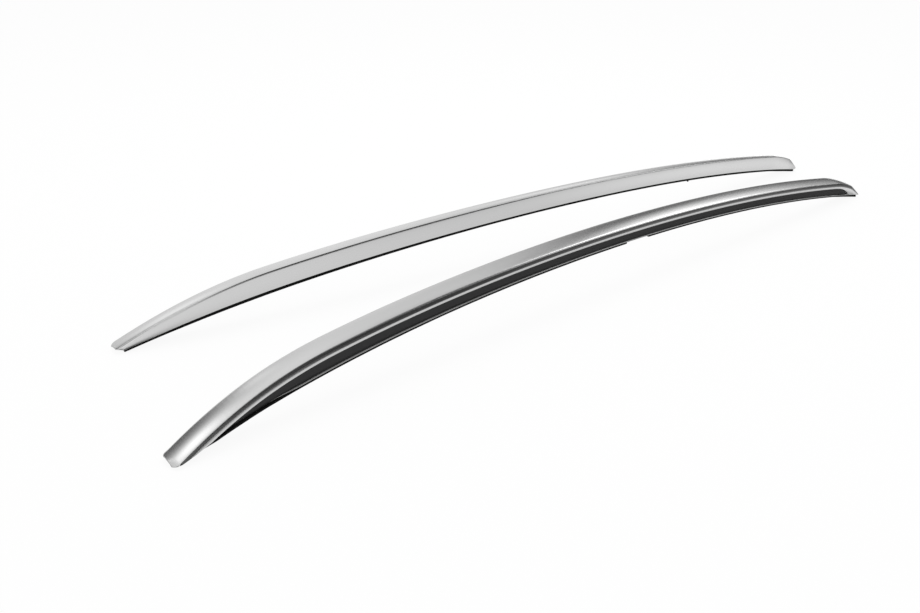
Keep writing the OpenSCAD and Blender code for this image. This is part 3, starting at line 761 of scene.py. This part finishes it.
class RAILS_OT_pads(bpy.types.Operator):
    """Lays the joint pads, the end pads and the seals' outboard lips under both rails"""

    bl_idname = "rails.pads"
    bl_label = "Pads"

    def execute(self, context):
        rail = shape()
        z = rail.z

        def outer(s):
            return rail.side_foot(s) - z.seal_inset

        def plain(s):
            return z.flange_edge

        def joint_edge(s):
            return z.joint_edge

        def narrowed(s):
            share = max(0, 1 - (s - z.front_pad_start) / z.front_pad_taper)
            return z.flange_edge + z.front_pad_narrowing * share

        def between(first, last):
            return lambda q: first + (last - first) * q

        def bar(side, name, a, b, inner, thick):
            rings = []
            for s in steps(a, b, int(z.stations * (b - a) / z.length) + PAD_STEPS):
                loop = seal_ring(rail, s, inner(s), outer(s), thick((s - a) / (b - a)))
                rings.append([rail.place(p, side) for p in loop])
            return sweep(f"{side}_{name}", rings)

        def lip(side):
            """Soft lip that hangs from the outboard edge of the seals and lies against the roof"""
            rings = []
            for s in steps(SEAL_LIP[0][0], SEAL_LIP[-1][0], z.stations):
                high, low = -LIP_HOLD * rail.seal(s), -rail.seal(s) - seal_lip_depth(s)
                levels = (high, low + LIP_CORNER, low, low, low + LIP_CORNER, high)
                places = [rail.seal_point(s, outer(s) + u, w) for u, w in zip(LIP_ACROSS, levels)]
                rings.append([rail.place(p, side) for p in places])
            return sweep(f"{side}_seal_lip", rings)

        for side in SIDES:
            hang = lip(side)
            hang.data.materials.append(finish_of("seal_rubber"))
            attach(hang, "root")
            even = between(z.joint, z.joint)
            thinner = between(rail.front_pad, z.seal_front)
            thicker = between(z.seal_rear, z.pad)
            joint = bar(side, "joint_rubber", rail.joint_start, rail.joint_stop, joint_edge, even)
            nose = bar(side, "front_rubber", z.front_pad_start, z.front_pad_end, narrowed, thinner)
            tail = bar(side, "rear_rubber", rail.rear_start, rail.rear_stop, plain, thicker)
            hand_over(joint, "pad_rubber", f"{side}_joint_pad")
            hand_over(nose, "pad_rubber", f"{side}_front_pad")
            hand_over(tail, "pad_rubber", f"{side}_rear_pad")
        return {"FINISHED"}


# Slots whose solids stay as they are and only get their finish.
KEPT_SLOTS = ("seal_rubber", "block_nylon", "insert_brass", "ring_rubber", "pin_black")


class RAILS_OT_fixings(bpy.types.Operator):
    """Finishes the base seals, fixing blocks, threaded inserts, seal rings and locating pins"""

    bl_idname = "rails.fixings"
    bl_label = "Fixings"

    def execute(self, context):
        for entry in frame["record"]["subparts"]:
            node = frame["nodes"][entry["node"]]
            if entry["material_slot"] in KEPT_SLOTS:
                node.data.materials.clear()
                node.data.materials.append(finish_of(entry["material_slot"]))
        return {"FINISHED"}


class RAILS_OT_stage(bpy.types.Operator):
    """Sets the pale floor, the soft light and the camera"""

    bl_idname = "rails.stage"
    bl_label = "Stage"

    def execute(self, context):
        scene = context.scene
        studio = scene.rail_studio
        bm = bmesh.new()
        bmesh.ops.create_grid(bm, x_segments=1, y_segments=1, size=studio.floor_size)
        floor = finished("studio_floor", bm)
        light = studio_light_group(studio.level, studio.tilt, studio.gain)
        floor.data.materials.append(floor_material(scene.rail_colours.floor, studio.glow, light))
        camera = bpy.data.objects.new("studio_camera", bpy.data.cameras.new("studio_camera"))
        scene.collection.objects.link(camera)
        camera.data.lens = studio.lens
        camera.data.sensor_width = studio.sensor
        camera.location = studio.camera
        camera.rotation_euler = (studio.pitch, 0, studio.heading)
        scene.camera = camera
        studio_world(scene, studio.world, light)
        studio_lamp(scene, studio.lamp, studio.lamp_size, studio.lamp_power)
        scene.view_settings.view_transform = "Standard"
        return {"FINISHED"}


# Soft lamps and black flags of the studio, as the rails mirror them: name, azimuth and elevation of the
# middle in degrees, spread in degrees, and strength, which is negative for a flag. In the names, right is
# towards -Y and rear towards +X, as on the rails.
SOFT_LIGHTS = (
    ("left high flag", 104.4, 36.9, 14.0, -0.61),
    ("left top lamp", 119.2, 57.3, 4.0, 0.95),
    ("rear left high lamp", 16.9, 40.4, 9.3, 3.39),
    ("rear left high flag", 37.9, 29.0, 3.2, -0.32),
    ("rear left low flag", 42.3, 15.3, 5.5, -1.41),
    ("rear left floor lamp", 33.7, -12.8, 6.8, 1.61),
    ("right low lamp", -64.6, -3.7, 10.1, 1.93),
    ("rear right floor lamp", -28.4, -26.0, 10.4, 1.24),
    ("right low flag", -65.3, -4.5, 12.4, -2.51),
    ("rear left low lamp", 43.4, 13.2, 5.0, 1.49),
    ("rear right floor flag", -25.7, -23.9, 13.7, -1.21),
    ("left high lamp", 90.0, 25.6, 6.7, 0.52),
    ("right high flag", -86.7, 25.2, 5.8, -1.62),
    ("right floor flag", -66.1, -71.1, 5.8, -1.71),
    ("rear right high lamp", -23.3, 31.1, 9.3, 1.82),
    ("rear left low flag 2", 30.2, -4.8, 12.0, -0.84),
    ("rear left top flag", 20.9, 51.5, 6.9, -1.67),
    ("rear high flag", 0.8, 42.6, 6.3, -1.09),
    ("rear right high flag", -21.5, 32.4, 21.9, -1.38),
    ("left high lamp 2", 86.5, 45.7, 3.4, 0.39),
    ("rear top flag", 5.4, 78.3, 11.4, -0.91),
    ("right top flag", -74.7, 56.2, 11.7, -1.06),
    ("right high flag 2", -71.7, 26.9, 12.1, -0.37),
    ("rear top lamp", -11.6, 67.9, 16.4, 0.27),
    ("left floor flag", 133.2, -14.0, 56.7, -0.46),
    ("right floor lamp", -62.6, -16.9, 3.2, 0.83),
    ("rear left high flag 2", 32.1, 37.2, 15.0, -0.42),
    ("right high flag 3", -149.5, 46.3, 18.7, -0.70),
    ("rear high flag 2", -2.9, 33.2, 16.1, -0.27),
    ("rear left high flag 3", 30.6, 38.1, 4.6, -1.32),
    ("rear right floor flag 2", -38.1, -21.8, 3.2, -0.78),
)


def towards(azimuth, elevation):
    a, e = math.radians(azimuth), math.radians(elevation)
    return (math.cos(e) * math.cos(a), math.cos(e) * math.sin(a), math.sin(e))


def soft_lamp_group():
    """Light of one round soft lamp in a direction: it fades evenly from its middle"""
    group, source, sink = new_group(
        "Soft lamp",
        [
            ("Direction", "NodeSocketVector", (0.0, 0.0, 1.0)),
            ("Middle", "NodeSocketVector", (0.0, 0.0, 1.0)),
            ("Spread", "NodeSocketFloat", 0.2),
            ("Strength", "NodeSocketFloat", 1.0),
        ],
        [("Light", "NodeSocketFloat")],
    )
    nodes, links = group.nodes, group.links
    facing = nodes.new("ShaderNodeVectorMath")
    facing.operation = "DOT_PRODUCT"
    links.new(source.outputs["Direction"], facing.inputs[0])
    links.new(source.outputs["Middle"], facing.inputs[1])
    off = math_node(nodes, "SUBTRACT", b=1.0)
    links.new(facing.outputs["Value"], off.inputs[0])
    square = math_node(nodes, "MULTIPLY")
    links.new(source.outputs["Spread"], square.inputs[0])
    links.new(source.outputs["Spread"], square.inputs[1])
    share = math_node(nodes, "DIVIDE")
    links.new(off.outputs[0], share.inputs[0])
    links.new(square.outputs[0], share.inputs[1])
    fade = math_node(nodes, "EXPONENT")
    links.new(share.outputs[0], fade.inputs[0])
    light = math_node(nodes, "MULTIPLY")
    links.new(fade.outputs[0], light.inputs[0])
    links.new(source.outputs["Strength"], light.inputs[1])
    links.new(light.outputs[0], sink.inputs[0])
    return group


def studio_light_group(level, tilt, gain):
    """Light that the rails mirror from a direction: a nearly even level with all lamps and flags on top"""
    group, source, sink = new_group(
        "Studio light", [("Direction", "NodeSocketVector", (0.0, 0.0, 1.0))], [("Light", "NodeSocketFloat")]
    )
    nodes, links = group.nodes, group.links
    lamp = soft_lamp_group()
    height = nodes.new("ShaderNodeSeparateXYZ")
    links.new(source.outputs["Direction"], height.inputs[0])
    total = math_node(nodes, "MULTIPLY_ADD", b=tilt)
    total.inputs[2].default_value = level
    links.new(height.outputs["Z"], total.inputs[0])
    for name, azimuth, elevation, spread, strength in SOFT_LIGHTS:
        one = nodes.new("ShaderNodeGroup")
        one.node_tree = lamp
        one.label = name
        one.inputs["Middle"].default_value = towards(azimuth, elevation)
        one.inputs["Spread"].default_value = math.radians(spread)
        one.inputs["Strength"].default_value = strength
        links.new(source.outputs["Direction"], one.inputs["Direction"])
        more = math_node(nodes, "ADD")
        links.new(total.outputs[0], more.inputs[0])
        links.new(one.outputs[0], more.inputs[1])
        total = more
    least = math_node(nodes, "MAXIMUM", b=0.0)
    links.new(total.outputs[0], least.inputs[0])
    out = math_node(nodes, "MULTIPLY", b=gain)
    links.new(least.outputs[0], out.inputs[0])
    links.new(out.outputs[0], sink.inputs[0])
    return group


def floor_material(colour, glow_share, light):
    """Plain pale floor: white to the camera with a soft shadow, and part of the studio light to a mirror"""
    material = bpy.data.materials.new("Studio floor")
    material.use_nodes = True
    nodes, links = material.node_tree.nodes, material.node_tree.links
    nodes.clear()
    out = nodes.new("ShaderNodeOutputMaterial")
    matt = nodes.new("ShaderNodeBsdfDiffuse")
    matt.inputs["Color"].default_value = (*colour, 1)
    path = nodes.new("ShaderNodeLightPath")
    white = nodes.new("ShaderNodeEmission")
    part = math_node(nodes, "MULTIPLY", b=glow_share)
    links.new(path.outputs["Is Camera Ray"], part.inputs[0])
    seen = nodes.new("ShaderNodeMixShader")
    links.new(part.outputs[0], seen.inputs[0])
    links.new(matt.outputs[0], seen.inputs[1])
    links.new(white.outputs[0], seen.inputs[2])
    geometry = nodes.new("ShaderNodeNewGeometry")
    turned = nodes.new("ShaderNodeVectorMath")
    turned.operation = "SCALE"
    turned.inputs["Scale"].default_value = -1.0
    links.new(geometry.outputs["Incoming"], turned.inputs[0])
    studio = nodes.new("ShaderNodeGroup")
    studio.node_tree = light
    links.new(turned.outputs[0], studio.inputs[0])
    glow = nodes.new("ShaderNodeEmission")
    links.new(studio.outputs[0], glow.inputs["Strength"])
    mirrored = nodes.new("ShaderNodeMixShader")
    links.new(path.outputs["Is Glossy Ray"], mirrored.inputs[0])
    links.new(seen.outputs[0], mirrored.inputs[1])
    links.new(glow.outputs[0], mirrored.inputs[2])
    links.new(mirrored.outputs[0], out.inputs[0])
    return material


def studio_world(scene, strength, light):
    """Even soft light for matt surfaces, the studio light for mirrors, and white for the camera"""
    world = bpy.data.worlds.new("Studio")
    scene.world = world
    world.use_nodes = True
    nodes, links = world.node_tree.nodes, world.node_tree.links
    nodes.clear()
    out = nodes.new("ShaderNodeOutputWorld")
    path = nodes.new("ShaderNodeLightPath")
    coords = nodes.new("ShaderNodeTexCoord")
    studio = nodes.new("ShaderNodeGroup")
    studio.node_tree = light
    links.new(coords.outputs["Generated"], studio.inputs[0])
    shades = []
    for value in (strength, None, 1.0):
        shade = nodes.new("ShaderNodeBackground")
        shade.inputs["Color"].default_value = (1, 1, 1, 1)
        if value is None:
            links.new(studio.outputs[0], shade.inputs["Strength"])
        else:
            shade.inputs["Strength"].default_value = value
        shades.append(shade)
    mirrored = nodes.new("ShaderNodeMixShader")
    links.new(path.outputs["Is Glossy Ray"], mirrored.inputs[0])
    links.new(shades[0].outputs[0], mirrored.inputs[1])
    links.new(shades[1].outputs[0], mirrored.inputs[2])
    seen = nodes.new("ShaderNodeMixShader")
    links.new(path.outputs["Is Camera Ray"], seen.inputs[0])
    links.new(mirrored.outputs[0], seen.inputs[1])
    links.new(shades[2].outputs[0], seen.inputs[2])
    links.new(seen.outputs[0], out.inputs[0])


def studio_lamp(scene, place, size, power):
    """Soft lamp over the rails, for matt surfaces and the shadow on the floor"""
    lamp = bpy.data.lights.new("studio_lamp", "AREA")
    lamp.shape = "DISK"
    lamp.size = size
    lamp.energy = power
    holder = bpy.data.objects.new("studio_lamp", lamp)
    holder.location = place
    holder.rotation_euler = (-Vector(place)).to_track_quat("-Z", "Y").to_euler()
    holder.visible_glossy = False
    scene.collection.objects.link(holder)


class RAILS_PT_panel(bpy.types.Panel):
    """Lists the pieces of the rails"""

    bl_idname = "RAILS_PT_panel"
    bl_label = "Roof rails"
    bl_space_type = "VIEW_3D"
    bl_region_type = "UI"
    bl_category = "Roof rails"

    def draw(self, context):
        layout = self.layout
        scene = context.scene
        for operator in OPERATORS:
            layout.operator(operator.bl_idname)
        for group in (scene.rail_sizes, scene.rail_colours, scene.rail_studio):
            box = layout.box()
            for name in group.bl_rna.properties.keys():
                if name not in ("rna_type", "name"):
                    box.prop(group, name)


OPERATORS = (
    RAILS_OT_extrusions,
    RAILS_OT_strips,
    RAILS_OT_pads,
    RAILS_OT_fixings,
    RAILS_OT_stage,
)
GROUPS = {"rail_sizes": RailSizes, "rail_colours": RailColours, "rail_studio": StudioSizes}


def register():
    for cls in (*GROUPS.values(), *OPERATORS, RAILS_PT_panel):
        bpy.utils.register_class(cls)
    for name, cls in GROUPS.items():
        setattr(bpy.types.Scene, name, PointerProperty(type=cls))


def unregister():
    for name in GROUPS:
        delattr(bpy.types.Scene, name)
    for cls in (RAILS_PT_panel, *OPERATORS[::-1], *GROUPS.values()):
        bpy.utils.unregister_class(cls)


def main():
    register()
    bpy.ops.rails.extrusions()
    bpy.ops.rails.strips()
    bpy.ops.rails.pads()
    bpy.ops.rails.fixings()
    bpy.ops.rails.stage()


if __name__ == "__main__":
    main()
